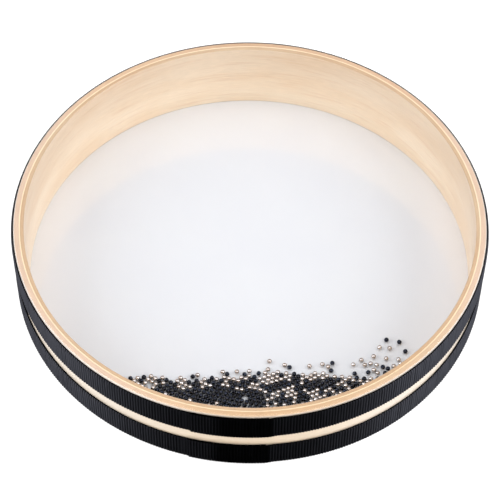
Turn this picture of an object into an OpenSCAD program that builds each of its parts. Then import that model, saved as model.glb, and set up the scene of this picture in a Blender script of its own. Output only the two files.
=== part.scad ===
// Ocean drum: a shallow bent-ply frame drum with a clear head on top, a white head below,
// two grosgrain ribbons over the skirts of the heads, and a thousand small steel balls that
// roll on the lower head. The origin is the centre of the base and +Z is up. The balls lie
// banked against the front wall, towards -Y.

/* [Shell] */
// Outside diameter of the wooden shell
shell_d = 304; // [240:2:360]
// Height over both heads
drum_h = 54; // [50:1:80]
// Thickness of the outer ply
outer_ply_t = 3.4; // [2.4:0.1:4.4]
// Thickness of the thin middle ply
core_ply_t = 0.7; // [0.4:0.1:1.2]
// Thickness of the inner ply
inner_ply_t = 2.3; // [1.6:0.1:3.2]
// Glue line between pieces that are stuck together
glue_line = 0.05; // [0.03:0.01:0.1]
// Radius of the shell's rounded outer edges
edge_round = 1.2; // [0.6:0.1:1.8]
// Chamfer on the shell's inner edges
edge_chamfer = 0.4; // [0.2:0.1:0.8]
// Length of a ply's scarf joint, as a multiple of the ply's thickness
scarf_slope = 8; // [5:1:10]

/* [Heads] */
// Thickness of the film of both heads
film_t = 0.25; // [0.15:0.05:0.5]
// Height of the skirt that each head turns down over the shell
skirt_h = 18; // [12:1:19]

/* [Ribbons] */
// Width of each ribbon
ribbon_w = 19.5; // [16:0.5:22]
// Thickness of a ribbon over its ribs
ribbon_t = 1; // [0.6:0.1:1.4]
// Distance from a ribbon's outer edge to the face of the drum
ribbon_inset = 2; // [1.6:0.1:3]
// Length over which a ribbon laps its own start
lap_len = 48; // [30:1:70]
// Length of the ramp where the lapped end comes down to the shell
lap_ramp = 5; // [3:0.5:8]

/* [Balls] */
// Diameter of a ball
ball_d = 3; // [2.5:0.1:3.4]
// Least space between two balls that lie side by side
ball_gap = 0.08; // [0.06:0.01:0.2]
// Space under the balls
ball_lift = 0.2; // [0.15:0.05:0.3]
// Space between the wall and the row of balls that lies along it
wall_gap = 0.3; // [0.2:0.05:0.6]
// Extra space between the row at the wall and the bank
row_gap = 0.12; // [0.1:0.01:0.3]
// Farthest that the loose balls run ahead of the bank
run_ahead_travel = 15; // [5:1:15]

/* [Hidden] */

arc_steps = 6;
round_fn = 180;
ball_fn = 20;

shell_r = shell_d / 2;
outer_ply_r = shell_r - outer_ply_t;
core_ply_r = outer_ply_r - glue_line - core_ply_t;
inner_r = core_ply_r - glue_line - inner_ply_t;
wood_z = film_t + glue_line;
wood_h = drum_h - 2 * wood_z;

// Directions from the centre, in degrees from +X, of the plies' scarf joints
outer_scarf_deg = 185;
core_scarf_deg = 305;
inner_scarf_deg = 65;

// Directions of the buried ends of the two ribbons: just right of the front
upper_lap_deg = 275;
lower_lap_deg = 274.4;
// How far the cuts that shape the ramp run past it, and how far the covering layer does, in ramps
ramp_past_share = 0.5;
ramp_end_share = 1.25;
head_r = shell_r + glue_line + film_t;
ribbon_r = head_r + glue_line;
upper_ribbon_z = drum_h - ribbon_inset - ribbon_w;

ball_r = ball_d / 2;
ball_z = film_t + ball_lift + ball_r;
pitch = ball_d + ball_gap;
row_r = inner_r - wall_gap - ball_r;

// The row along the wall runs between these directions
row_from_deg = 221;
row_to_deg = 329;

// Inner edge of the bank from left to right: x and y as shares of the inner radius
shore_shares = [
    [-0.80, -0.655], [-0.56, -0.640], [-0.50, -0.628], [-0.43, -0.618], [-0.38, -0.618],
    [-0.32, -0.626], [-0.28, -0.618], [-0.22, -0.612], [-0.18, -0.624], [-0.15, -0.619],
    [-0.10, -0.604],
    [0.00, -0.600], [0.05, -0.596], [0.09, -0.584], [0.14, -0.586], [0.18, -0.597],
    [0.23, -0.592], [0.28, -0.586], [0.32, -0.584], [0.36, -0.588], [0.39, -0.598],
    [0.42, -0.609], [0.46, -0.600], [0.49, -0.578], [0.53, -0.560], [0.57, -0.552],
    [0.62, -0.553], [0.68, -0.530], [0.80, -0.500], [0.90, -0.480]
];
// Slope of the bank: the balls have rolled forwards and a little to the left
bank_tilt_deg = 4;
// Depth of the frayed fringe of the bank, at the middle and at its right end
fray_share = 0.014;
right_fray_share = 0.05;
right_share = 0.47;
// Share of the places in the fringe that hold a ball
frayed_full_share = 0.82;
// Share of the places further in that hold a ball
inner_full_share = 0.99;

// Most that the spaces in the row along the wall add to its pitch
row_slack_share = 0.22;
// Most that a ball in the bank stands off the two that it rests on, as a share of the pitch
rest_slack_share = 0.035;
// Nearest that a ball may come to one that it doesn't rest on, as a share of the pitch
touch_share = 0.999;
// Farthest that a ball has a bearing on where the next one comes to rest, in pitches
near_pitches = 3.2;
// Seeds of the random draws: spaces along the wall, slack in the bank, missing balls, and the
// shades in both places
row_seed = 7;
rest_seed = 5;
fill_seed = 31;
row_shade_seed = 17;
bank_shade_seed = 59;

// Clusters of black balls, from left to right: x, y and radius as shares of the inner radius
dark_shares = [
    [-0.454, -0.770, 0.048], [-0.392, -0.653, 0.012], [-0.364, -0.715, 0.041], [-0.333, -0.670, 0.019],
    [-0.309, -0.715, 0.041], [-0.289, -0.804, 0.062], [-0.247, -0.701, 0.041], [-0.247, -0.625, 0.011],
    [-0.227, -0.646, 0.016], [-0.199, -0.718, 0.055], [-0.165, -0.639, 0.021], [-0.137, -0.701, 0.058],
    [-0.120, -0.629, 0.013], [-0.110, -0.838, 0.089], [-0.089, -0.605, 0.012], [-0.069, -0.735, 0.058],
    [-0.062, -0.660, 0.019], [-0.034, -0.612, 0.011], [-0.014, -0.656, 0.025], [-0.014, -0.598, 0.012],
    [0.000, -0.725, 0.058], [0.021, -0.605, 0.012], [0.052, -0.598, 0.012], [0.062, -0.718, 0.052],
    [0.110, -0.729, 0.027], [0.131, -0.670, 0.032], [0.137, -0.859, 0.069], [0.151, -0.605, 0.013],
    [0.165, -0.735, 0.049], [0.186, -0.656, 0.019], [0.206, -0.625, 0.022], [0.230, -0.684, 0.034],
    [0.247, -0.722, 0.034], [0.302, -0.667, 0.037], [0.316, -0.797, 0.062], [0.351, -0.653, 0.034],
    [0.357, -0.708, 0.013], [0.395, -0.608, 0.012], [0.405, -0.674, 0.023], [0.474, -0.656, 0.019],
    [0.536, -0.722, 0.048]
];
// Strings of silver balls that wind through the clusters: their corners, as shares of the same
string_shares = [
    [[-0.117, -0.646], [-0.107, -0.664], [-0.086, -0.675], [-0.055, -0.683], [-0.023, -0.676]],
    [[0.014, -0.665], [0.048, -0.672], [0.079, -0.685]],
    [[0.103, -0.705], [0.131, -0.696], [0.186, -0.686], [0.213, -0.679]],
    [[0.137, -0.711], [0.199, -0.704], [0.213, -0.718]],
    [[-0.192, -0.667], [-0.172, -0.666]], [[0.082, -0.735], [0.110, -0.733]],
    [[-0.289, -0.674], [-0.296, -0.698]], [[-0.151, -0.763], [-0.103, -0.756]],
    [[0.261, -0.687], [0.289, -0.689]], [[0.316, -0.682], [0.378, -0.683]],
    [[0.302, -0.715], [0.337, -0.702]]
];
// Half the width of such a string, as a share of the pitch
string_reach_share = 0.55;
// Share of black balls in a cluster, and outside of all of them
cluster_dark_share = 0.94;
stray_dark_share = 0.15;

// Loose balls beyond the bank's edge, from left to right: x and y as shares of the inner radius
loose_silver_shares = [
    [-0.220, -0.612], [-0.110, -0.594], [-0.048, -0.591], [0.007, -0.588], [0.089, -0.577],
    [0.162, -0.553], [0.271, -0.557], [0.328, -0.546], [0.353, -0.558], [0.464, -0.545],
    [0.500, -0.520], [0.515, -0.546], [0.541, -0.538], [0.567, -0.545], [0.610, -0.510],
    [0.642, -0.550], [0.665, -0.514], [0.627, -0.455]
];
loose_black_shares = [
    [-0.241, -0.620], [0.048, -0.598], [0.183, -0.564], [0.372, -0.538], [0.366, -0.578],
    [0.469, -0.592], [0.478, -0.614], [0.529, -0.584], [0.594, -0.555], [0.616, -0.563]
];
// Balls that have rolled clear and lie by themselves
silver_ball_shares = [[0.095, -0.534], [0.555, -0.500], [0.582, -0.452]];
black_ball_shares = [[0.614, -0.410], [0.671, -0.421], [0.696, -0.470]];

// A point at a distance and a direction from the centre
function polar(r, deg) = r * [cos(deg), sin(deg)];

// Points along a quarter round, from one direction to another
function arc(middle, r, from, to) =
    [for (k = [0 : arc_steps]) middle + polar(r, from + (to - from) * k / arc_steps)];

// Direction that a length of arc spans, in degrees
function arc_deg(len, r) = len / r * 180 / PI;

// Height of the shore over x
function shore(x) = inner_r * lookup(x / inner_r, shore_shares);

// Least distance that another ball keeps from this one: a little more from one in the row
// along the wall
function reach(p) = pitch + (norm(p) > row_r - row_gap ? row_gap : 0);

// Whether a place keeps clear of every ball of a list
function clear_of(p, spots) =
    len([for (s = spots) if (norm(p - s) < touch_share * reach(s)) true]) == 0;

// Whether a place lies in the way of a loose ball that runs ahead
function in_way(p, spots) =
    len([for (s = spots)
        if (abs(p.x - s.x) < pitch && p.y > s.y && p.y < s.y + run_ahead_travel + pitch) true]) > 0;

// Share of the places at a point that hold a ball
function full_share(p) =
    let (fray = inner_r * (p.x > right_share * inner_r ? right_fray_share : fray_share))
    shore(p.x) - p.y < fray ? frayed_full_share : inner_full_share;

// Distance from a place to the line between two points
function off_line(p, a, b) =
    let (over = b - a, t = (p - a) * over / (over * over))
    norm(p - a - min(max(t, 0), 1) * over);

// Whether a place is on one of the strings
function on_string(p) =
    len([for (line = string_shares, k = [1 : len(line) - 1])
        if (off_line(p, inner_r * line[k - 1], inner_r * line[k]) < string_reach_share * pitch) true]) > 0;

// Whether a ball is black, from its place and a number drawn for it
function is_dark(p, draw) =
    let (hits = [for (c = dark_shares) if (norm(p - inner_r * [c.x, c.y]) < inner_r * c.z) true])
    draw < (len(hits) > 0 && !on_string(p) ? cluster_dark_share : stray_dark_share);

// Places of a list of shares, each kept only where it is clear of those before it
function spread(shares, kept = [], k = 0) =
    k >= len(shares) ? kept :
    let (p = inner_r * [shares[k].x, shares[k].y])
    spread(shares, clear_of(p, kept) ? concat(kept, [p]) : kept, k + 1);

function single_spots() = [for (s = concat(silver_ball_shares, black_ball_shares)) inner_r * s];
function loose_spots() = spread(concat(silver_ball_shares, black_ball_shares,
    loose_silver_shares, loose_black_shares));

// How far a place lies along the bank, and how high up its slope
function along(p) = p * polar(1, bank_tilt_deg);
function height(p) = p * polar(1, bank_tilt_deg + 90);

// The place where a ball comes to rest on two others, or an empty list where it finds none
function rest(a, b, near, slack) =
    let (over = b - a, d = norm(over))
    let (to_a = reach(a) * (1 + slack), to_b = reach(b) * (1 + slack))
    let (foot = (d * d + to_a * to_a - to_b * to_b) / (2 * d), rise = to_a * to_a - foot * foot)
    let (p = rise > 0 ? a + (over * foot + [-over.y, over.x] * sqrt(rise)) / d : a)
    along(a) < along(p) && along(p) < along(b) && p.y <= shore(p.x) && clear_of(p, near) ? [p] : [];

// The same for two balls in either order, with slack where there is room for it
function rest_on(p, q, near, slack) =
    let (a = along(p) < along(q) ? p : q, b = along(p) < along(q) ? q : p)
    let (loosely = rest(a, b, near, slack))
    len(loosely) > 0 ? loosely : rest(a, b, near, 0);

// Lays balls one by one, each at the lowest of the open places, until none is left
function settle(laid, open, luck) =
    len(open) == 0 ? laid :
    let (lowest = min([for (p = open) height(p)]))
    let (next = [for (p = open) if (height(p) == lowest) p][0])
    let (near = [for (q = laid) if (norm(q - next) < near_pitches * pitch) q])
    let (held = concat(near, [next]), slack = rest_slack_share * luck[len(laid)])
    settle(concat(laid, [next]), concat(
        [for (p = open) if (clear_of(p, [next])) p],
        [for (q = near) each rest_on(next, q, held, slack)]
    ), luck);

// The row along the wall: directions from the centre, each a ball and a little space on
function row_turns(luck, kept = [row_from_deg]) =
    let (last = kept[len(kept) - 1], slack = row_slack_share * pow(luck[len(kept)], 2))
    let (next = last + arc_deg(pitch * (1 + slack), row_r))
    next > row_to_deg ? kept : row_turns(luck, concat(kept, [next]));

function row_places() =
    let (most = ceil((row_to_deg - row_from_deg) / arc_deg(pitch, row_r)) + 1)
    [for (deg = row_turns(rands(0, 1, most, row_seed))) polar(row_r, deg)];

// All places of the bank: the balls settle on the row along the wall
function settled() =
    let (row = row_places(), luck = rands(0, 1, ceil(PI * pow(row_r / pitch, 2)), rest_seed))
    let (open = [for (k = [1 : len(row) - 1])
        each rest_on(row[k - 1], row[k], row, rest_slack_share * luck[k])])
    let (laid = settle(row, open, luck))
    [for (k = [len(row) : len(laid) - 1]) laid[k]];

// Places with a number drawn for the shade of each
function shaded(places, seed) =
    let (shade = rands(0, 1, len(places), seed))
    [for (k = [0 : len(places) - 1]) [places[k].x, places[k].y, shade[k]]];

function row_spots() = shaded(row_places(), row_shade_seed);

// All places of the bank that hold a ball
function bank_spots() =
    let (places = settled(), taken = loose_spots())
    let (fill = rands(0, 1, len(places), fill_seed))
    shaded([for (k = [0 : len(places) - 1]) let (p = places[k])
        if (fill[k] < full_share(p) && clear_of(p, taken) && !in_way(p, taken)) p], bank_shade_seed);

// One ball at a place on the lower head
module ball(p) {
    translate([p.x, p.y, ball_z]) sphere(r = ball_r, $fn = ball_fn);
}

// The balls of a list of places that are black, or those that aren't
module balls(spots, dark) {
    for (p = spots) if (is_dark([p.x, p.y], p.z) == dark) ball(p);
}

// The loose balls of one colour that have a place
module loose_balls(shares) {
    singles = single_spots();
    all = loose_spots();
    for (s = shares) {
        p = inner_r * s;
        if (len([for (q = all) if (norm(p - q) == 0) true]) > 0 && clear_of(p, singles)) ball(p);
    }
}

// Kerf of a ply's scarf joint: a thin slanted slot from the ply's inside to its outside
module scarf(r_in, r_out, at) {
    a = polar(r_in, at);
    b = polar(r_out, at + arc_deg(scarf_slope * (r_out - r_in), r_out));
    along = (b - a) / norm(b - a);
    aside = glue_line / 2 * [-along.y, along.x];
    past = 2 * scarf_slope * glue_line * along;
    linear_extrude(drum_h)
        polygon([a - past + aside, a - past - aside, b + past - aside, b + past + aside]);
}

// A point of the slope that drops by the ribbon's thickness to a radius, some ramps past its top
function on_slope(foot_r, at, ramps) =
    polar(foot_r + ribbon_t * (1 - ramps), at + ramps * arc_deg(lap_ramp, foot_r));

// A ribbon and its lap: it starts lap_len short of the buried end, runs over it and down the ramp,
// and then once round. The wedge that the ramp leaves before the buried end stays empty.
module ribbon(z, at) {
    mid_r = ribbon_r + ribbon_t;
    lap_deg = arc_deg(lap_len, mid_r);
    cover_deg = lap_deg + arc_deg(lap_ramp * ramp_end_share, mid_r);
    past = 1 + ramp_past_share;
    translate([0, 0, z]) difference() {
        union() {
            rotate_extrude($fn = round_fn) translate([ribbon_r, 0]) square([ribbon_t, ribbon_w]);
            difference() {
                rotate([0, 0, at - lap_deg])
                    rotate_extrude(angle = cover_deg, $fn = round_fn)
                        translate([mid_r - ribbon_t * ramp_past_share, 0])
                            square([ribbon_t * past, ribbon_w]);
                through_ribbon([
                    on_slope(mid_r, at, -ramp_past_share), on_slope(mid_r, at, past),
                    polar(mid_r + ribbon_t * past, at + past * arc_deg(lap_ramp, mid_r))
                ]);
            }
        }
        through_ribbon([
            polar(ribbon_r - ribbon_t * ramp_past_share, at), on_slope(ribbon_r, at, 0),
            on_slope(ribbon_r, at, past)
        ]);
    }
}

// A cut right through a ribbon's width
module through_ribbon(points) {
    translate([0, 0, -ribbon_t]) linear_extrude(ribbon_w + 2 * ribbon_t) polygon(points);
}

// A head: a disc of film whose edge is turned round the shell's edge into a skirt
module head() {
    middle = [shell_r - edge_round, wood_z + edge_round];
    skirt_r = shell_r + glue_line;
    rotate_extrude($fn = round_fn) polygon(concat(
        [[0, 0]],
        arc(middle, edge_round + glue_line + film_t, -90, 0),
        [[head_r, skirt_h], [skirt_r, skirt_h]],
        arc(middle, edge_round + glue_line, 0, -90),
        [[0, film_t]]
    ));
}

module shell_outer_ply() {
    low = [shell_r - edge_round, wood_z + edge_round];
    high = [shell_r - edge_round, wood_z + wood_h - edge_round];
    color("#e3bd93") difference() {
        rotate_extrude($fn = round_fn) polygon(concat(
            [[outer_ply_r, wood_z]], arc(low, edge_round, -90, 0),
            arc(high, edge_round, 0, 90), [[outer_ply_r, wood_z + wood_h]]
        ));
        scarf(outer_ply_r, shell_r, outer_scarf_deg);
    }
}

module shell_core_ply() {
    color("#f6e2c0") difference() {
        translate([0, 0, wood_z]) rotate_extrude($fn = round_fn)
            translate([core_ply_r, 0]) square([core_ply_t, wood_h]);
        scarf(core_ply_r, core_ply_r + core_ply_t, core_scarf_deg);
    }
}

module shell_inner_ply() {
    face_r = inner_r + inner_ply_t;
    top_z = wood_z + wood_h;
    color("#f0d4a4") difference() {
        rotate_extrude($fn = round_fn) polygon([
            [face_r, wood_z], [face_r, top_z], [inner_r + edge_chamfer, top_z],
            [inner_r, top_z - edge_chamfer], [inner_r, wood_z + edge_chamfer],
            [inner_r + edge_chamfer, wood_z]
        ]);
        scarf(inner_r, face_r, inner_scarf_deg);
    }
}

module clear_head() {
    color([0.9, 0.95, 1, 0.25]) translate([0, 0, drum_h]) mirror([0, 0, 1]) head();
}

module white_head() {
    color("#eef1f5") head();
}

module upper_ribbon() {
    color("#17171a") ribbon(upper_ribbon_z, upper_lap_deg);
}

module lower_ribbon() {
    color("#17171a") ribbon(ribbon_inset, lower_lap_deg);
}

module rim_row_silver() {
    color("#b5a9a2") balls(row_spots(), false);
}

module rim_row_black() {
    color("#2a2f3c") balls(row_spots(), true);
}

module bank_silver() {
    color("#b5a9a2") balls(bank_spots(), false);
}

module bank_black() {
    color("#2a2f3c") balls(bank_spots(), true);
}

module loose_silver() {
    color("#b5a9a2") loose_balls(loose_silver_shares);
}

module loose_black() {
    color("#2a2f3c") loose_balls(loose_black_shares);
}

module silver_ball(k) {
    color("#b5a9a2") ball(inner_r * silver_ball_shares[k]);
}

module black_ball(k) {
    color("#2a2f3c") ball(inner_r * black_ball_shares[k]);
}

shell_outer_ply();
shell_core_ply();
shell_inner_ply();
clear_head();
white_head();
upper_ribbon();
lower_ribbon();
rim_row_silver();
rim_row_black();
bank_silver();
bank_black();
loose_silver();
loose_black();
silver_ball(0);  // silver_ball_1
silver_ball(1);  // silver_ball_2
silver_ball(2);  // silver_ball_3
black_ball(0);  // black_ball_1
black_ball(1);  // black_ball_2
black_ball(2);  // black_ball_3
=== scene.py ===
"""Ocean drum: a bent-ply shell, two film heads, two grosgrain bands and a wash of steel balls.

Every size is in metres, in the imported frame: +Z up through both heads, the origin under the
middle of the drum, and the front, where the balls lie banked, towards -Y.
"""

import logging
import math
import random
from collections.abc import Callable
from dataclasses import dataclass
from enum import Enum

import bmesh
import bpy
from mathutils import Matrix, Vector


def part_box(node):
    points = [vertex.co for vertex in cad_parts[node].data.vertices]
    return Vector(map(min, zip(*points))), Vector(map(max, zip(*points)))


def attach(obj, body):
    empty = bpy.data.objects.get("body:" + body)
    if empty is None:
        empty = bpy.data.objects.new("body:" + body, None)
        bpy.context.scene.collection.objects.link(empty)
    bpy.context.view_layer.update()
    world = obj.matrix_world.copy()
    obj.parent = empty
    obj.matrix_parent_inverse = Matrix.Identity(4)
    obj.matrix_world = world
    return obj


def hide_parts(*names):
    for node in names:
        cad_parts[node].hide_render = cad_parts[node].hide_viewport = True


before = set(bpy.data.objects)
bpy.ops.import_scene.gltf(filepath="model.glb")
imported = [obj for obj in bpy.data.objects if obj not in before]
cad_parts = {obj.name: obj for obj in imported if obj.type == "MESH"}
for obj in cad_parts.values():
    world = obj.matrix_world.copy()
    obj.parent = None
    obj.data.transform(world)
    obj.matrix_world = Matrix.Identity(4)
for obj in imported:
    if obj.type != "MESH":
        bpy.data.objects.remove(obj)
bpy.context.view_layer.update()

LOG = logging.getLogger("ocean_drum")
MM = 0.001
HALF = 0.5
WHITE = "#ffffff"

# Vertices nearer to each other than this are one
WELD = 0.001 * MM
# Digits of a place, in metres, by which the balls are put in order
ORDER_DIGITS = 6
# Name of the attribute that carries each ball's cast
CAST = "cast"
# Forwards and a little to the right, where the rim has the least glare on it
FRONT = (0.35, -0.94, 0.0)

Socket = bpy.types.NodeSocket
Piece = bpy.types.Object
Material = bpy.types.Material
Colour = tuple[float, float, float, float]
Span = tuple[float, float]


class Body(Enum):
    """The bodies of the frame that pieces ride on, apart from the single balls."""

    DRUM = "drum"
    RIM_ROW = "rim_row"
    BANK = "bank"
    LOOSE = "loose"


class Slot(Enum):
    """The record's material slots."""

    OUTER_PLY = "outer_ply"
    CORE_PLY = "core_ply"
    INNER_PLY = "inner_ply"
    CLEAR_FILM = "clear_film"
    WHITE_FILM = "white_film"
    RIBBON = "ribbon"
    SILVER_BALL = "silver_ball"
    BLACK_BALL = "black_ball"


def linear(code: str) -> Colour:
    """Turns a colour as it looks on screen into one for a shader.

    Args:
        code: Six hexadecimal digits after a hash sign.

    Returns:
        Linear red, green and blue, and an alpha of 1.
    """
    shares = [int(code[k:k + 2], 16) / 255 for k in (1, 3, 5)]
    red, green, blue = (s / 12.92 if s < 0.04045 else ((s + 0.055) / 1.055) ** 2.4 for s in shares)
    return (red, green, blue, 1.0)


def clear_selection() -> None:
    """Leaves edit mode and deselects every object."""
    if bpy.context.object and bpy.context.object.mode != "OBJECT":
        bpy.ops.object.mode_set(mode="OBJECT")
    bpy.ops.object.select_all(action="DESELECT")


def take(piece: Piece) -> None:
    """Makes a piece the active one, and the only one selected.

    Args:
        piece: The piece.
    """
    clear_selection()
    piece.select_set(True)
    bpy.context.view_layer.objects.active = piece


def settle(piece: Piece) -> None:
    """Leaves edit mode and moves a piece's place, turn and scale into its mesh."""
    take(piece)
    bpy.ops.object.transform_apply(location=True, rotation=True, scale=True)


def choose(piece: Piece, test: Callable[[Vector], bool]) -> None:
    """Selects the vertices that pass a test, and no others.

    Args:
        piece: The piece, in edit mode.
        test: Says of a place, in the piece's own space, whether it is wanted.
    """
    bpy.ops.mesh.select_mode(type="VERT")
    bpy.ops.mesh.select_all(action="DESELECT")
    mesh = bmesh.from_edit_mesh(piece.data)
    for vert in mesh.verts:
        if test(vert.co):
            vert.select_set(True)
    mesh.select_flush_mode()
    bmesh.update_edit_mesh(piece.data)


def dress(piece: Piece, material: Material) -> None:
    """Gives a piece this material in place of those it has."""
    piece.data.materials.clear()
    piece.data.materials.append(material)


class Chain:
    """Shader nodes that are written down one after another."""

    def __init__(self, tree: bpy.types.NodeTree) -> None:
        """Empties a tree, to write the nodes in."""
        self.tree = tree
        self.tree.nodes.clear()

    def add(self, kind: str, inputs: dict[int | str, object], **settings: object) -> bpy.types.Node:
        """Adds a node.

        Args:
            kind: The node's type.
            inputs: A value or another node's socket for each input, by number or name.
            **settings: The node's own settings.

        Returns:
            The node.
        """
        node = self.tree.nodes.new(kind)
        for key, value in settings.items():
            setattr(node, key, value)
        for key, value in inputs.items():
            if isinstance(value, bpy.types.NodeSocket):
                self.tree.links.new(value, node.inputs[key])
            else:
                node.inputs[key].default_value = value
        return node

    def math(self, operation: str, first: Socket | float, second: Socket | float = 0.0,
             third: Socket | float = 0.0) -> Socket:
        """Returns the result of a sum on up to three numbers."""
        return self.add("ShaderNodeMath", {0: first, 1: second, 2: third}, operation=operation).outputs[0]

    def mix(self, share: Socket | float, first: object, second: object, blend: str = "MIX") -> Socket:
        """Returns a colour between two others."""
        inputs = {0: share, 6: first, 7: second}
        return self.add("ShaderNodeMix", inputs, data_type="RGBA", blend_type=blend).outputs[2]

    def blend(self, share: Socket, first: Socket, second: Socket) -> Socket:
        """Returns a shader between two others."""
        return self.add("ShaderNodeMixShader", {0: share, 1: first, 2: second}).outputs[0]

    def looked_at(self) -> Socket:
        """Tells the rays that show a place from those that light others by it.

        Returns:
            1 on a ray that shows the place, straight, in a mirror or through a clear piece, or else 0.
        """
        rays = self.add("ShaderNodeLightPath", {}).outputs
        through = self.math("MAXIMUM", rays["Is Glossy Ray"], rays["Is Transmission Ray"])
        return self.math("MAXIMUM", rays["Is Camera Ray"], through)


class Recipe(Chain):
    """A material written down as a chain of nodes."""

    def __init__(self, name: str) -> None:
        """Starts an empty material.

        Args:
            name: The material's name.
        """
        self.material = bpy.data.materials.new(name)
        self.material.use_nodes = True
        super().__init__(self.material.node_tree)

    def vector(self, operation: str, inputs: dict[int | str, object]) -> Socket:
        """Returns the vector that a sum on vectors gives."""
        return self.add("ShaderNodeVectorMath", inputs, operation=operation).outputs["Vector"]

    def number(self, operation: str, inputs: dict[int | str, object]) -> Socket:
        """Returns the number that a sum on vectors gives."""
        return self.add("ShaderNodeVectorMath", inputs, operation=operation).outputs["Value"]

    def place(self) -> Socket:
        """Returns the place on the object, in metres."""
        return self.add("ShaderNodeTexCoord", {}).outputs["Object"]

    def flat_place(self) -> Socket:
        """Returns the place on the object seen from above: its height is left out."""
        return self.vector("MULTIPLY", {0: self.place(), 1: (1.0, 1.0, 0.0)})

    def part(self, axis: str, at: Socket | None = None) -> Socket:
        """Returns one part, X, Y or Z, of a vector, or of the place on the object."""
        return self.add("ShaderNodeSeparateXYZ", {0: at or self.place()}).outputs[axis]

    def radius(self) -> Socket:
        """Returns the distance from the drum's middle line."""
        return self.number("LENGTH", {0: self.flat_place()})

    def ahead(self, reach: Span) -> Socket:
        """Returns a share that rises from 0 to 1 over a reach towards the front."""
        return self.rise(self.number("DOT_PRODUCT", {0: self.place(), 1: FRONT}), reach)

    def slanted(self, slants: Span) -> Socket:
        """Tells where the drum's round side turns away from the eye.

        Args:
            slants: The slants, from 0 face on to 1 edge on, between which the share rises.

        Returns:
            0 where the side faces the eye, and 1 where it is seen at a slant.
        """
        outwards = self.vector("NORMALIZE", {0: self.flat_place()})
        facing = self.add("ShaderNodeLayerWeight", {"Blend": HALF, "Normal": outwards}).outputs["Facing"]
        return self.rise(facing, slants)

    def round_drum(self, radius: float, along: float, across: float) -> Socket:
        """Coordinates for a pattern that runs round the drum and meets itself with no seam.

        Args:
            radius: Where the pattern is, from the middle line.
            along: Length of one feature round the drum.
            across: Width of one feature, upwards or outwards.

        Returns:
            A vector in which one feature is one unit long each way.
        """
        way = self.vector("NORMALIZE", {0: self.flat_place()})
        turned = self.vector("SCALE", {0: way, "Scale": radius / along})
        rise = self.math("DIVIDE", self.math("ADD", self.part("Z"), self.radius()), across)
        return self.vector("ADD", {0: turned, 1: self.add("ShaderNodeCombineXYZ", {"Z": rise}).outputs[0]})

    def noise(self, at: Socket, scale: float = 1.0, detail: float = 3.0, rough: float = 0.5) -> Socket:
        """Returns a cloudy number, about 0.5 on average, at a place."""
        inputs = {"Vector": at, "Scale": scale, "Detail": detail, "Roughness": rough}
        return self.add("ShaderNodeTexNoise", inputs).outputs[0]

    def clouded(self, share: Socket, shares: Span, colours: tuple[str, str]) -> Socket:
        """Turns evenly from one colour into another.

        Args:
            share: A number from 0 to 1.
            shares: Where the first colour ends and the second is reached.
            colours: The two colours.

        Returns:
            The colour at the share.
        """
        node = self.add("ShaderNodeValToRGB", {"Fac": share})
        for element, position, colour in zip(node.color_ramp.elements, shares, colours):
            element.position = position
            element.color = linear(colour)
        return node.outputs["Color"]

    def span(self, share: Socket, ends: Span) -> Socket:
        """Stretches a share of 0 to 1 to run between two ends, and stops it there."""
        inputs = {"Value": share, "To Min": ends[0], "To Max": ends[1]}
        return self.add("ShaderNodeMapRange", inputs).outputs[0]

    def rise(self, value: Socket, ends: Span) -> Socket:
        """Returns 0 where a value is under the first end, 1 over the second, and a smooth step between."""
        inputs = {"Value": value, "From Min": ends[0], "From Max": ends[1]}
        return self.add("ShaderNodeMapRange", inputs, interpolation_type="SMOOTHSTEP").outputs[0]

    def bump(self, height: Socket, distance: float, strength: float = 1.0,
             under: Socket | None = None) -> Socket:
        """Tilts the surface by a relief.

        Args:
            height: The relief, from 0 to 1.
            distance: How tall it is, in metres, where it is 1.
            strength: The share of the tilt that is used.
            under: Another relief's normal that this one lies on.

        Returns:
            The tilted normal.
        """
        inputs = {"Height": height, "Distance": distance, "Strength": strength}
        if under:
            inputs["Normal"] = under
        return self.add("ShaderNodeBump", inputs).outputs[0]

    def surface(self, **inputs: object) -> Socket:
        """Adds a Principled shader.

        Args:
            **inputs: Its inputs, named in lower case with underscores.

        Returns:
            The shader.
        """
        named = {}
        for key, value in inputs.items():
            named[key.replace("_", " ").title().replace("Ior", "IOR")] = value
        return self.add("ShaderNodeBsdfPrincipled", named).outputs[0]

    def matt(self, colour: str) -> Socket:
        """Returns a shader with no gloss."""
        return self.add("ShaderNodeBsdfDiffuse", {"Color": linear(colour)}).outputs[0]

    def finish(self, shader: Socket) -> Material:
        """Sends a shader to the surface and returns the material."""
        self.add("ShaderNodeOutputMaterial", {"Surface": shader})
        return self.material


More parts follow.
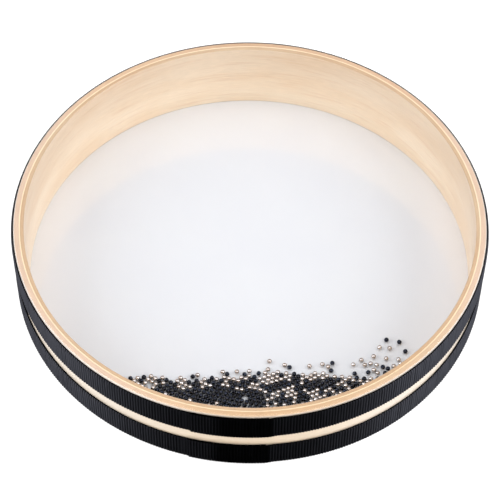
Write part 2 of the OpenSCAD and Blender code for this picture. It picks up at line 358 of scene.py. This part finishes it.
@dataclass(frozen=True)
class VeneerFinish:
    """Lacquered veneer whose grain runs round the drum."""

    slot: Slot
    pale: str
    deep: str
    streak: str
    streak_depth: float = 0.35
    streak_len: float = 34 * MM
    streak_width: float = 1.3 * MM
    streak_shares: Span = (0.52, 0.72)
    fibre_len: float = 6 * MM
    fibre_width: float = 0.5 * MM
    fibre_shades: Span = (0.86, 1.14)
    cloud_len: float = 70 * MM
    cloud_width: float = 16 * MM
    cloud_shares: Span = (0.35, 0.62)
    # Tones of the cut edge: at the back and sides it is paler, with painted glare in it, and at the front,
    # where the rim has the least glare, it has its own tone. The reach says where the one turns into the
    # other.
    cut_edge: str = "#c9bcad"
    front_edge: str = "#c4b19c"
    front_reach: Span = (90 * MM, 145 * MM)
    # How far under the ply's top its edge's tone begins, and where it is reached
    edge_depths: Span = (0.6 * MM, 0.2 * MM)
    # Tone of the face near the top, and the shares of the height between which it comes
    high_tone: str = WHITE
    high_shares: Span = (0.2, 0.9)
    # Painted sheen: a paler tone painted into the colour where the drum's side is seen at a slant, and the
    # slants over which it comes
    sheen_tone: str | None = None
    slant_reach: Span = (0.44, 0.62)
    relief: float = 0.03 * MM
    roughness: Span = (0.3, 0.48)
    lacquer: float = 0.25
    lacquer_roughness: float = 0.18

    def build(self, radius: float, top: float) -> Material:
        """Returns the veneer.

        Args:
            radius: Radius of the ply's outer face.
            top: Height of the ply's upper edge.

        Returns:
            The material.
        """
        recipe = Recipe(self.slot.value)
        streaks = recipe.noise(recipe.round_drum(radius, self.streak_len, self.streak_width), detail=4.0)
        fibres = recipe.noise(recipe.round_drum(radius, self.fibre_len, self.fibre_width), detail=4.0)
        clouds = recipe.noise(recipe.round_drum(radius, self.cloud_len, self.cloud_width), detail=2.0)
        body = recipe.clouded(clouds, self.cloud_shares, (self.deep, self.pale))
        depth = recipe.math("MULTIPLY", recipe.rise(streaks, self.streak_shares), self.streak_depth)
        veined = recipe.mix(depth, body, linear(self.streak))
        # Paints the lacquer's sheen at a slant into the colour
        if self.sheen_tone:
            veined = recipe.mix(recipe.slanted(self.slant_reach), veined, linear(self.sheen_tone))
        toned = recipe.mix(1.0, veined, self.tone(recipe, top), "MULTIPLY")
        colour = recipe.mix(1.0, toned, recipe.span(fibres, self.fibre_shades), "MULTIPLY")
        normal = recipe.bump(fibres, self.relief, under=recipe.bump(streaks, self.relief))
        return recipe.finish(recipe.surface(
            base_color=colour, roughness=recipe.span(fibres, self.roughness), normal=normal,
            coat_weight=self.lacquer, coat_roughness=self.lacquer_roughness))

    def tone(self, recipe: Recipe, top: float) -> Socket:
        """Tells what the veneer is multiplied by: one tone on its face and another on its cut edge, whose
        tone away from the front has painted glare in it.

        Args:
            recipe: The material.
            top: Height of the ply's upper edge.

        Returns:
            The tone.
        """
        low, high = self.high_shares
        rising = recipe.rise(recipe.part("Z"), (low * top, high * top))
        face = recipe.mix(rising, linear(WHITE), linear(self.high_tone))
        # The paler edge tone away from the front is painted glare
        cut = recipe.mix(recipe.ahead(self.front_reach), linear(self.cut_edge), linear(self.front_edge))
        start, end = self.edge_depths
        return recipe.mix(recipe.rise(recipe.part("Z"), (top - start, top - end)), face, cut)


@dataclass(frozen=True)
class MilkyFilmFinish:
    """Milky white polyester film, smooth enough to mirror the wall."""

    slot: Slot = Slot.WHITE_FILM
    body: str = "#d4d3d1"
    thin: str = "#d2d1d0"
    # Painted light: a paler tone painted on the film to the left and right, near the walls, to lift the
    # shade there, and how far out it comes
    side: str = "#dddbd9"
    wall_light_reach: Span = (105 * MM, 140 * MM)
    pearl: float = 0.13
    ior: float = 1.6
    cloud_len: float = 45 * MM
    cloud_shares: Span = (0.3, 0.7)
    slack: float = 0.02 * MM
    grit_size: float = 0.6 * MM
    roughness: Span = (0.05, 0.11)

    def build(self) -> Material:
        """Makes the film.

        Returns:
            The material.
        """
        recipe = Recipe(self.slot.value)
        clouds = recipe.noise(recipe.place(), scale=1 / self.cloud_len, detail=2.0)
        grit = recipe.noise(recipe.place(), scale=1 / self.grit_size, detail=2.0)
        middle = recipe.clouded(clouds, self.cloud_shares, (self.thin, self.body))
        sideways = recipe.math("ABSOLUTE", recipe.part("X"))
        # Paints light onto the film near the left and right walls
        colour = recipe.mix(recipe.rise(sideways, self.wall_light_reach), middle, linear(self.side))
        return recipe.finish(recipe.surface(
            base_color=colour, roughness=recipe.span(grit, self.roughness),
            normal=recipe.bump(clouds, self.slack), metallic=self.pearl, ior=self.ior))


@dataclass(frozen=True)
class ClearFilmFinish:
    """Clear polyester film: next to nothing face on, glossy at a slant, and with a painted highlight, a pale
    matt veil, on its fold.
    """

    slot: Slot = Slot.CLEAR_FILM
    tint: str = "#f9fafc"
    gleam: str = "#f6ece2"
    gleam_roughness: float = 0.06
    face_on_gleam: float = 0.007
    gleam_power: float = 5.0
    dust_size: float = 3 * MM
    dust: Span = (0.9, 1.1)
    # Radii between which the film turns into its fold
    fold: Span = (151.3 * MM, 151.8 * MM)
    # Colour of the painted highlight on the fold, a pale matt veil, its strength at the back and front, and
    # where that changes
    fold_highlight: str = "#f4ebe2"
    fold_highlight_strengths: Span = (0.26, 0.04)
    front_reach: Span = (100 * MM, 138 * MM)

    def build(self) -> Material:
        """Makes the film.

        Returns:
            The material.
        """
        recipe = Recipe(self.slot.value)
        folded = recipe.rise(recipe.radius(), self.fold)
        seen_through = recipe.add("ShaderNodeBsdfTransparent", {"Color": linear(self.tint)}).outputs[0]
        polish = {"Color": linear(self.gleam), "Roughness": self.gleam_roughness}
        gloss = recipe.add("ShaderNodeBsdfGlossy", polish).outputs[0]
        shining = recipe.math("MULTIPLY", recipe.math("SUBTRACT", 1.0, folded), self.shine(recipe))
        flat = recipe.blend(shining, seen_through, gloss)
        # Paints the highlight on the fold as a matt veil, weaker at the front
        highlight_share = recipe.math("MULTIPLY", folded, recipe.span(recipe.ahead(self.front_reach), self.fold_highlight_strengths))
        return recipe.finish(recipe.blend(highlight_share, flat, recipe.matt(self.fold_highlight)))

    def shine(self, recipe: Recipe) -> Socket:
        """Tells how much the film mirrors: little face on, and all of the light edge on.

        Args:
            recipe: The material.

        Returns:
            The share of the light.
        """
        slant = recipe.add("ShaderNodeLayerWeight", {"Blend": HALF}).outputs["Facing"]
        glancing = recipe.math("POWER", slant, self.gleam_power)
        shine = recipe.math("MULTIPLY_ADD", glancing, 1.0 - self.face_on_gleam, self.face_on_gleam)
        dust = recipe.noise(recipe.place(), scale=1 / self.dust_size, detail=4.0)
        return recipe.math("MULTIPLY", shine, recipe.span(dust, self.dust))


@dataclass(frozen=True)
class GrosgrainFinish:
    """Black ribbed ribbon, read along the ribbon's own map: u is its length and v its width. A painted
    sheen, a pale slate tone, is mixed into its colour where its side is seen at a slant. It is strongest on
    the ribs' crests and is left off on the lap and on the selvedges.
    """

    name: str = "grosgrain"
    crest: str = "#040405"
    groove: str = "#020202"
    selvedge: str = "#020202"
    selvedge_shares: Span = (0.7, 1.2)
    # Painted sheen: the slate tone mixed into the colour where the ribbon is seen at a slant, the slants
    # over which it comes, and how strong it is overall, on the crests and in patches
    sheen_tone: str = "#3c3d43"
    slant_reach: Span = (0.465, 0.735)
    painted_sheen: Span = (0.05, 1.0)
    crest_sheen: Span = (0.35, 1.6)
    patch_sheen: Span = (0.6, 1.3)
    rib_phase: float = -0.75 * math.pi
    yarn_len: float = 4 * MM
    yarn_width: float = 0.35 * MM
    yarn_relief: float = 0.05 * MM
    yarn_strength: float = 0.7
    patch_len: float = 1.3 * MM
    patch_width: float = 9 * MM
    patch_shares: Span = (0.3, 0.7)
    # How far past the lap the painted sheen comes back and is whole again, and where it fades out towards
    # the free end
    sheen_past_lap: Span = (1 * MM, 3 * MM)
    free_end: Span = (10 * MM, 22 * MM)
    roughness: float = 0.8

    def build(self, length: float, width: float, ribs: int, lap_len: float,
              selvedge_width: float) -> Material:
        """Returns the ribbon's weave.

        Args:
            length: Length of the ribbon, from its covering end to its buried end.
            width: Width of the ribbon.
            ribs: How many ribs cross it.
            lap_len: Length that covers its own end, which the glue has darkened.
            selvedge_width: Width of the plain woven edges.

        Returns:
            The material.
        """
        recipe = Recipe(self.name)
        share = recipe.add("ShaderNodeUVMap", {}).outputs[0]
        laid = recipe.vector("MULTIPLY", {0: share, 1: (length, width, 0.0)})
        yarns = self.woven(recipe, laid, self.yarn_len, self.yarn_width, detail=2.0)
        patches = self.woven(recipe, laid, self.patch_len, self.patch_width, detail=3.0)
        lit = recipe.mix(recipe.rise(patches, self.patch_shares), linear(self.groove), linear(self.crest))
        # Painted sheen: strongest on the ribs' crests, left off on the lap, and stronger where the side is
        # seen at a slant
        crest_sheen_share = recipe.math("MULTIPLY", self.off_lap(recipe, laid, lap_len),
                            self.sheen_on_crests(recipe, laid, patches, math.tau * ribs / length))
        painted_sheen = recipe.math("MULTIPLY", recipe.span(recipe.slanted(self.slant_reach), self.painted_sheen), crest_sheen_share)
        body = recipe.mix(painted_sheen, lit, linear(self.sheen_tone))
        height = recipe.math("PINGPONG", recipe.part("Y", laid), width * HALF)
        start, end = self.selvedge_shares
        inside = recipe.rise(height, (selvedge_width * start, selvedge_width * end))
        colour = recipe.mix(recipe.math("SUBTRACT", 1.0, inside), body, linear(self.selvedge))
        normal = recipe.bump(yarns, self.yarn_relief, self.yarn_strength)
        return recipe.finish(recipe.surface(base_color=colour, roughness=self.roughness, normal=normal,
                                            specular_ior_level=0.0))

    def woven(self, recipe: Recipe, laid: Socket, along: float, across: float, detail: float) -> Socket:
        """Returns a cloudy number whose clouds have this length along the ribbon and width across it."""
        drawn = recipe.vector("MULTIPLY", {0: laid, 1: (1 / along, 1 / across, 0.0)})
        return recipe.noise(drawn, detail=detail)

    def off_lap(self, recipe: Recipe, laid: Socket, lap_len: float) -> Socket:
        """Tells where the painted sheen is kept: everywhere but on the lap, short of its free end.

        Args:
            recipe: The material.
            laid: The place on the ribbon laid flat.
            lap_len: Length that covers the ribbon's own end.

        Returns:
            0 on the lap, short of its free end, and 1 elsewhere.
        """
        along = recipe.part("X", laid)
        start, end = self.sheen_past_lap
        past_lap = recipe.rise(along, (lap_len + start, lap_len + end))
        free_end = recipe.math("SUBTRACT", 1.0, recipe.rise(along, self.free_end))
        return recipe.math("MAXIMUM", past_lap, free_end)

    def sheen_on_crests(self, recipe: Recipe, laid: Socket, patches: Socket, turn: float) -> Socket:
        """Tells how strong the painted sheen is on the yarn's tufts: most on the ribs' crests, and in
        patches.

        Args:
            recipe: The material.
            laid: The place on the ribbon laid flat.
            patches: A cloudy number that makes the tufts uneven.
            turn: Angle that the ribs' wave turns by in a metre.

        Returns:
            The share of light.
        """
        wave = recipe.math("SINE", recipe.math("MULTIPLY_ADD", recipe.part("X", laid), turn, self.rib_phase))
        crest = recipe.span(recipe.math("MULTIPLY_ADD", wave, HALF, HALF), self.crest_sheen)
        return recipe.math("MULTIPLY", crest, recipe.span(patches, self.patch_sheen))


@dataclass(frozen=True)
class SteelFinish:
    """Polished steel whose cast differs a little from ball to ball."""

    slot: Slot
    warm: str
    cool: str
    roughness: Span
    scuff_size: float = 0.5 * MM
    scuff_detail: float = 4.0
    scuff_rough: float = 0.6
    relief: float = 0.004 * MM

    def build(self) -> Material:
        """Makes the steel.

        Returns:
            The material.
        """
        recipe = Recipe(self.slot.value)
        cast = recipe.add("ShaderNodeAttribute", {}, attribute_name=CAST).outputs["Fac"]
        scuffs = recipe.noise(recipe.place(), 1 / self.scuff_size, self.scuff_detail, self.scuff_rough)
        colour = recipe.mix(cast, linear(self.warm), linear(self.cool))
        return recipe.finish(recipe.surface(
            base_color=colour, metallic=1.0, roughness=recipe.span(scuffs, self.roughness),
            normal=recipe.bump(scuffs, self.relief)))


@dataclass
class BentShell:
    """The wooden hoop: three plies bent one inside the other and glued."""

    outer_finish: VeneerFinish = VeneerFinish(
        Slot.OUTER_PLY, pale="#bfaa8f", deep="#c8b79f", streak="#b28f73", cut_edge="#fce5d3",
        front_edge="#f6ddbe", sheen_tone="#c6baab")
    core_finish: VeneerFinish = VeneerFinish(
        Slot.CORE_PLY, pale="#fff4dc", deep="#ffeed2", streak="#f6deb8", streak_depth=0.2,
        cut_edge="#e3d8c8", front_edge="#deceb8")
    inner_finish: VeneerFinish = VeneerFinish(
        Slot.INNER_PLY, pale="#edd8bb", deep="#e8cead", streak="#d4a881", streak_depth=0.34,
        high_tone="#eeebe9")

    def build(self) -> list[Piece]:
        """Dresses the three plies of the frame.

        Returns:
            The plies, from the outer to the inner one.
        """
        plies = []
        for finish in (self.outer_finish, self.core_finish, self.inner_finish):
            node = f"shell_{finish.slot.value}"
            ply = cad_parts[node]
            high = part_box(node)[1]
            dress(ply, finish.build(high.x, high.z))
            plies.append(ply)
        return plies


@dataclass
class Heads:
    """The two film heads, folded down over the shell."""

    clear_finish: ClearFilmFinish = ClearFilmFinish()
    white_finish: MilkyFilmFinish = MilkyFilmFinish()

    def build(self) -> list[Piece]:
        """Dresses both heads of the frame.

        Returns:
            The clear head and the white one.
        """
        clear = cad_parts["clear_head"]
        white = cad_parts["white_head"]
        dress(clear, self.clear_finish.build())
        dress(white, self.white_finish.build())
        return [clear, white]


@dataclass
class GrosgrainBand:
    """A ribbon glued round a head's skirt, whose covering end laps the buried one."""

    name: str
    node: str
    rests_on: list[str]
    # Direction of the buried end, from +X, in radians
    buried_end_at: float
    # 1 where the near face of the drum is above the ribbon, and -1 where it is below
    face_side: int
    # How much higher the ribbon lies at its lap
    front_lift: float
    seed: int
    thickness: float = 1.0 * MM
    loft: float = 0.5 * MM
    cloth: float = 0.55 * MM
    lap_len: float = 48 * MM
    ramp_len: float = 5 * MM
    rib_pitch: float = 1.84 * MM
    selvedge: float = 1.1 * MM
    scallop: float = 0.4 * MM
    overhang: float = 0.35 * MM
    pressed: float = 0.7 * MM
    # How far the ribbon wanders towards the drum's face at the back
    drift: float = 0.5 * MM
    drift_reach: float = 360 * MM
    lift_reach: float = 120 * MM
    unevenness: float = 0.03 * MM
    columns_per_rib: int = 4
    rows: int = 3
    path_step: float = math.radians(1)
    crease: float = math.radians(50)

    def __post_init__(self) -> None:
        """Reads the band's place from the frame."""
        low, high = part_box(self.node)
        self.low = low.z
        self.width = high.z - low.z
        self.middle = self.low + self.width * HALF
        self.inner = high.x - self.thickness

    def build(self, finish: GrosgrainFinish) -> Piece:
        """Weaves the ribbon flat and lays it round the drum.

        Args:
            finish: The ribbon's finish.

        Returns:
            The ribbon.
        """
        path = self.lay_path()
        length = sum((b - a).length for a, b in zip(path, path[1:]))
        ribs = round(length / self.rib_pitch)
        band = self.weave(length, ribs)
        self.lay_round(band, path)
        dress(band, finish.build(length, self.width, ribs, self.lap_len, self.selvedge))
        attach(band, Body.DRUM.value)
        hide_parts(self.node)
        return band

    def lay_path(self) -> list[Vector]:
        """Works out the line of the ribbon's inner face: over the buried end, down the ramp, once round.

        Returns:
            The line's points, from the covering end to the buried one.
        """
        cover = self.inner + self.pressed
        start = self.buried_end_at - self.lap_len / cover
        end = self.buried_end_at + math.tau
        ramp = self.ramp_len / cover
        steps = math.ceil((end - start) / self.path_step)
        turns = {start + (end - start) * k / steps for k in range(steps + 1)}
        turns |= {self.buried_end_at, self.buried_end_at + ramp * HALF, self.buried_end_at + ramp}
        path = []
        for turn in sorted(turns):
            down = min(max((turn - self.buried_end_at) / ramp, 0.0), 1.0)
            reach = cover - self.pressed * down
            path.append(Vector((reach * math.cos(turn), reach * math.sin(turn), 0.0)))
        return path

    def weave(self, length: float, ribs: int) -> Piece:
        """Makes the ribbon as a straight standing strip that faces -Y.

        Args:
            length: Length of the ribbon.
            ribs: How many ribs cross it.

        Returns:
            The strip, along X from the origin.
        """
        columns = ribs * self.columns_per_rib
        column = length / columns
        strip = self.blank(length, columns)
        bpy.ops.object.mode_set(mode="EDIT")
        self.narrow_selvedges(strip)
        bpy.ops.mesh.select_all(action="SELECT")
        bpy.ops.mesh.extrude_region_move(TRANSFORM_OT_translate={"value": (0, -self.cloth, 0)})
        self.raise_ribs(strip, length, column)
        self.wander(strip, lambda p: abs(p.x - length * HALF) < column,
                    self.face_side * self.drift, self.drift_reach)
        self.wander(strip, lambda p: min(p.x, length - p.x) < self.lap_len * HALF,
                    self.front_lift, self.lift_reach)
        bpy.ops.mesh.select_all(action="SELECT")
        bpy.ops.mesh.remove_doubles(threshold=WELD)
        bpy.ops.mesh.normals_make_consistent(inside=False)
        bpy.ops.object.mode_set(mode="OBJECT")
        return strip

    def blank(self, length: float, columns: int) -> Piece:
        """Makes a flat standing grid as long and wide as the ribbon.

        Args:
            length: Length of the ribbon.
            columns: How many columns the grid has.

        Returns:
            The grid, along X from the origin.
        """
        clear_selection()
        bpy.ops.mesh.primitive_grid_add(
            x_subdivisions=columns, y_subdivisions=self.rows, size=1, rotation=(math.pi / 2, 0, 0))
        strip = bpy.context.object
        strip.name = self.name
        strip.data.name = self.name
        strip.scale = (length, self.width, 1)
        strip.location = (length * HALF, 0, self.middle)
        settle(strip)
        return strip

    def narrow_selvedges(self, strip: Piece) -> None:
        """Moves the two inner lines of the grid out, to where the selvedges begin.

        Args:
            strip: The grid, in edit mode.
        """
        row = self.width / self.rows
        step = row - self.selvedge
        choose(strip, lambda p: 0 < self.middle - p.z < row)
        bpy.ops.transform.translate(value=(0, 0, -step))
        choose(strip, lambda p: 0 < p.z - self.middle < row)
        bpy.ops.transform.translate(value=(0, 0, step))

    def raise_ribs(self, strip: Piece, length: float, column: float) -> None:
        """Lifts the ribs' crests, and pushes their ends out past the selvedges.

        Args:
            strip: The strip, in edit mode, with its cloth's thickness.
            length: Length of the strip.
            column: Width of a column of its grid.
        """
        inside = self.width * HALF - self.selvedge * HALF

        def on_crest(place: Vector) -> bool:
            """True on the columns of a rib that stand up: the second half of each rib's."""
            turn = round(place.x / column) % self.columns_per_rib
            return turn >= self.columns_per_rib // 2 and place.y < -self.cloth * HALF

        def buried(place: Vector) -> bool:
            """True on the end that lies under the lap, and a little before it."""
            return place.x > length - self.lap_len - self.ramp_len

        choose(strip, lambda p: (p.z - self.middle) * self.face_side > inside)
        bpy.ops.transform.translate(value=(0, 0, self.face_side * self.overhang))
        choose(strip, lambda p: on_crest(p) and abs(p.z - self.middle) < inside and not buried(p))
        bpy.ops.transform.translate(value=(0, self.cloth - self.thickness - self.loft, 0))
        bpy.ops.transform.vertex_random(offset=self.unevenness, uniform=1.0, seed=self.seed)
        for side in (-1, 1):
            choose(strip, lambda p: on_crest(p) and (p.z - self.middle) * side > inside)
            bpy.ops.transform.translate(value=(0, 0, side * self.scallop))

    def wander(self, strip: Piece, test: Callable[[Vector], bool], rise: float, reach: float) -> None:
        """Moves part of the strip up, and less and less of the strip beyond it.

        Args:
            strip: The strip, in edit mode.
            test: Says of a place on the strip whether it moves the whole way.
            rise: How far it moves.
            reach: How far along the strip the move dies out.
        """
        choose(strip, test)
        bpy.ops.transform.translate(value=(0, 0, rise), use_proportional_edit=True,
                                    proportional_edit_falloff="SMOOTH", proportional_size=reach)

    def lay_round(self, strip: Piece, path: list[Vector]) -> None:
        """Bends the straight strip along the path, and leaves it smooth where its ribs are round.

        Args:
            strip: The strip.
            path: The line that its inner face follows.
        """
        curve = bpy.data.curves.new(self.name + "_path", "CURVE")
        curve.dimensions = "2D"
        line = curve.splines.new("POLY")
        line.points.add(len(path) - 1)
        for point, place in zip(line.points, path):
            point.co = (*place, 1.0)
        guide = bpy.data.objects.new(curve.name, curve)
        bpy.context.scene.collection.objects.link(guide)
        take(strip)
        bend = strip.modifiers.new("lay", "CURVE")
        bend.object = guide
        bend.deform_axis = "POS_X"
        bpy.ops.object.modifier_apply(modifier=bend.name)
        bpy.data.objects.remove(guide)
        bpy.data.curves.remove(curve)
        bpy.ops.object.shade_smooth_by_angle(angle=self.crease)


@dataclass
class Wash:
    """The steel balls, each laid where the frame has one."""

    silver: SteelFinish = SteelFinish(Slot.SILVER_BALL, "#c0b5ac", "#d3ceca", roughness=(0.07, 0.21))
    black: SteelFinish = SteelFinish(Slot.BLACK_BALL, "#25262c", "#2b303c", roughness=(0.3, 0.44))
    cuts: int = 2
    single_cuts: int = 5
    fullness: float = 1.02
    seed: int = 11

    def __post_init__(self) -> None:
        """Reads the balls' size from the frame."""
        low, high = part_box("silver_ball_1")
        self.radius = (high.z - low.z) * HALF
        self.luck = random.Random(self.seed)

    def build(self) -> list[Piece]:
        """Makes every group and every single ball.

        Returns:
            The groups and then the single balls.
        """
        shades = [
            ("silver", self.silver.build(), Slot.SILVER_BALL),
            ("black", self.black.build(), Slot.BLACK_BALL),
        ]
        pieces = []
        for body in (Body.RIM_ROW, Body.BANK, Body.LOOSE):
            for shade, steel, slot in shades:
                pieces.append(self.group(f"{body.value}_{shade}", body.value, steel, self.cuts))
        for k in (1, 2, 3):
            for shade, steel, slot in shades:
                single = f"{shade}_ball_{k}"
                pieces.append(self.group(single, single, steel, self.single_cuts))
        return pieces

    def group(self, node: str, body: str, steel: Material, cuts: int) -> Piece:
        """Makes the balls that stand for one node of the frame.

        Args:
            node: The node.
            body: The body that it rides on.
            steel: The balls' material.
            cuts: How finely a ball is cut.

        Returns:
            All the balls of the node as one piece.
        """
        first = self.ball(cuts)
        balls = [self.lay(first, centre) for centre in self.places(node)]
        bpy.data.objects.remove(first)
        clear_selection()
        for ball in balls:
            ball.select_set(True)
        bpy.context.view_layer.objects.active = balls[0]
        if len(balls) > 1:
            bpy.ops.object.join()
        piece = bpy.context.view_layer.objects.active
        piece.name = f"{node}_polished"
        piece.data.name = piece.name
        dress(piece, steel)
        bpy.ops.object.shade_smooth()
        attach(piece, body)
        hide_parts(node)
        return piece

    def ball(self, cuts: int) -> Piece:
        """Rounds a cut cube into one ball.

        Args:
            cuts: How often each edge of the cube is cut.

        Returns:
            The ball, about the origin.
        """
        clear_selection()
        bpy.ops.mesh.primitive_cube_add(size=self.radius)
        ball = bpy.context.object
        bpy.ops.object.mode_set(mode="EDIT")
        bpy.ops.mesh.select_all(action="SELECT")
        bpy.ops.mesh.subdivide(number_cuts=cuts)
        bpy.ops.transform.tosphere(value=1.0)
        bpy.ops.object.mode_set(mode="OBJECT")
        reach = max(vert.co.length for vert in ball.data.vertices)
        ball.data.transform(Matrix.Scale(self.radius * self.fullness / reach, 4))
        return ball

    def lay(self, first: Piece, centre: Vector) -> Piece:
        """Copies a ball to its place, rolled any way up and with a cast of its own.

        Args:
            first: The ball about the origin.
            centre: Where the copy's middle goes.

        Returns:
            The copy.
        """
        ball = first.copy()
        ball.data = first.data.copy()
        roll = self.luck.uniform(0, math.tau)
        axis = Vector((self.luck.uniform(-1, 1), self.luck.uniform(-1, 1), self.luck.uniform(0.1, 1)))
        ball.data.transform(Matrix.Translation(centre) @ Matrix.Rotation(roll, 4, axis))
        cast = ball.data.attributes.new(CAST, "FLOAT", "POINT")
        cast.data.foreach_set("value", [self.luck.random()] * len(ball.data.vertices))
        bpy.context.scene.collection.objects.link(ball)
        return ball

    def places(self, node: str) -> list[Vector]:
        """Finds a node's balls, each a radius under its own highest point.

        Args:
            node: The node.

        Returns:
            The middles of the balls, from left to right.
        """
        mesh = bmesh.new()
        mesh.from_mesh(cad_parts[node].data)
        bmesh.ops.remove_doubles(mesh, verts=mesh.verts, dist=WELD)
        middles = []
        seen = set()
        for start in mesh.verts:
            if start in seen:
                continue
            seen.add(start)
            island = [start]
            for vert in island:
                for edge in vert.link_edges:
                    other = edge.other_vert(vert)
                    if other not in seen:
                        seen.add(other)
                        island.append(other)
            top = max(island, key=lambda v: v.co.z).co
            middles.append(Vector((top.x, top.y, top.z - self.radius)))
        mesh.free()
        return sorted(middles, key=lambda m: (round(m.x, ORDER_DIGITS), round(m.y, ORDER_DIGITS)))


@dataclass(frozen=True)
class Softbox:
    """A square soft lamp that faces the drum."""

    name: str
    place: tuple[float, float, float]
    size: float
    watts: float

    def hang(self) -> None:
        """Hangs the lamp at its place."""
        lamp = bpy.data.lights.new(self.name, "AREA")
        lamp.size = self.size
        lamp.energy = self.watts
        holder = bpy.data.objects.new(self.name, lamp)
        holder.location = self.place
        holder.rotation_euler = (-Vector(self.place)).to_track_quat("-Z", "Y").to_euler()
        bpy.context.scene.collection.objects.link(holder)


def turned(first: Vector, second: Vector, degrees: float) -> tuple[Vector, Vector]:
    """Turns two square directions in their own plane, the first towards the second.

    Args:
        first: A direction.
        second: A direction square to it.
        degrees: How far both turn.

    Returns:
        The two directions, turned.
    """
    angle = math.radians(degrees)
    cosine, sine = math.cos(angle), math.sin(angle)
    return first * cosine + second * sine, second * cosine - first * sine


@dataclass
class Studio:
    """A pale floor, soft lamps and the camera at the photograph's place."""

    distance: float = 1270.66 * MM
    # The camera's angles, in degrees: its height over the drum, and how it is turned from looking at it
    elevation: float = 53.51
    pan: float = 0.012
    tilt: float = 0.4615
    roll: float = 0.8574
    # Focal length and sensor width, in millimetres, as a camera's settings are
    lens: float = 137.28
    sensor: float = 36.0
    clip_start: float = 10 * MM
    floor_size: float = 12.0
    floor_glow: float = 0.62
    floor_shown: str = "#b4b4b4"
    floor_lighting: str = "#e8e8e8"
    fill: float = 1.12
    back_tone: str = "#bcbcc0"
    back_depths: Span = (0.15, 0.6)
    lamps: tuple[Softbox, ...] = (
        Softbox("left_softbox", (-1.5, -0.3, 1.1), 1.3, 20),
        Softbox("right_softbox", (1.4, -0.5, 1.0), 1.3, 24),
        Softbox("top_softbox", (0.0, 0.0, 2.2), 1.5, 13),
        Softbox("left_key", (-0.8, -0.75, 1.75), 0.6, 3.5),
        Softbox("right_key", (0.65, -1.0, 1.7), 0.5, 2.5),
    )

    def build(self) -> None:
        """Sets the floor, the world, the lamps and the camera."""
        self.lay_floor()
        self.light_world()
        for lamp in self.lamps:
            lamp.hang()
        self.set_camera()

    def lay_floor(self) -> None:
        """Lays a floor that shows white, with the object's shadow on it."""
        clear_selection()
        bpy.ops.mesh.primitive_plane_add(size=self.floor_size)
        floor = bpy.context.object
        floor.name = "floor"
        recipe = Recipe(floor.name)
        glow = recipe.add("ShaderNodeEmission", {"Strength": self.floor_glow}).outputs[0]
        shown = recipe.add("ShaderNodeAddShader", {0: recipe.matt(self.floor_shown), 1: glow}).outputs[0]
        plain = recipe.matt(self.floor_lighting)
        dress(floor, recipe.finish(recipe.blend(recipe.looked_at(), plain, shown)))

    def light_world(self) -> None:
        """Surrounds the scene with white in front and a dimmer back, over an even fill."""
        world = bpy.data.worlds.new("studio")
        bpy.context.scene.world = world
        world.use_nodes = True
        sky = Chain(world.node_tree)
        way = sky.add("ShaderNodeTexCoord", {}).outputs["Generated"]
        depth = sky.add("ShaderNodeSeparateXYZ", {0: way}).outputs["Y"]
        start, end = self.back_depths
        behind = {"Value": depth, "From Min": start, "From Max": end}
        share = sky.add("ShaderNodeMapRange", behind).outputs[0]
        tone = sky.mix(share, linear(WHITE), linear(self.back_tone))
        fill = {"Color": linear(WHITE), "Strength": self.fill}
        lighting = sky.add("ShaderNodeBackground", fill).outputs[0]
        shown = sky.add("ShaderNodeBackground", {"Color": tone, "Strength": 1.0}).outputs[0]
        sky.add("ShaderNodeOutputWorld", {"Surface": sky.blend(sky.looked_at(), lighting, shown)})

    def set_camera(self) -> None:
        """Puts the camera where the photograph was taken from."""
        slope = math.radians(self.elevation)
        place = Vector((0, -math.cos(slope), math.sin(slope))) * self.distance
        ahead = -place.normalized()
        right = Vector((1, 0, 0))
        up = right.cross(ahead)
        ahead, right = turned(ahead, right, self.pan)
        ahead, up = turned(ahead, up, self.tilt)
        right, up = turned(right, up, self.roll)
        data = bpy.data.cameras.new("photo_camera")
        data.lens = self.lens
        data.sensor_width = self.sensor
        data.clip_start = self.clip_start
        camera = bpy.data.objects.new("photo_camera", data)
        bpy.context.scene.collection.objects.link(camera)
        axes = Matrix((right, up, -ahead)).transposed().to_4x4()
        camera.matrix_world = Matrix.Translation(place) @ axes
        bpy.context.scene.camera = camera


def main() -> None:
    """Dresses the frame, builds what replaces its plain solids, and sets the studio."""
    logging.basicConfig(level=logging.INFO, format="%(name)s: %(message)s")
    bpy.context.scene.view_settings.view_transform = "Standard"
    pieces = BentShell().build()
    pieces += Heads().build()
    grosgrain = GrosgrainFinish()
    bands = [
        GrosgrainBand("upper_band", "upper_ribbon", ["clear_head", "shell_outer_ply"],
                      math.radians(275), face_side=1, front_lift=0.0, seed=3),
        GrosgrainBand("lower_band", "lower_ribbon", ["white_head", "shell_outer_ply"],
                      math.radians(274.4), face_side=-1, front_lift=0.7 * MM, seed=5),
    ]
    pieces += [band.build(grosgrain) for band in bands]
    pieces += Wash().build()
    Studio().build()
    for piece in pieces:
        LOG.info("%s: %d faces", piece.name, len(piece.data.polygons))


if __name__ == "__main__":
    main()
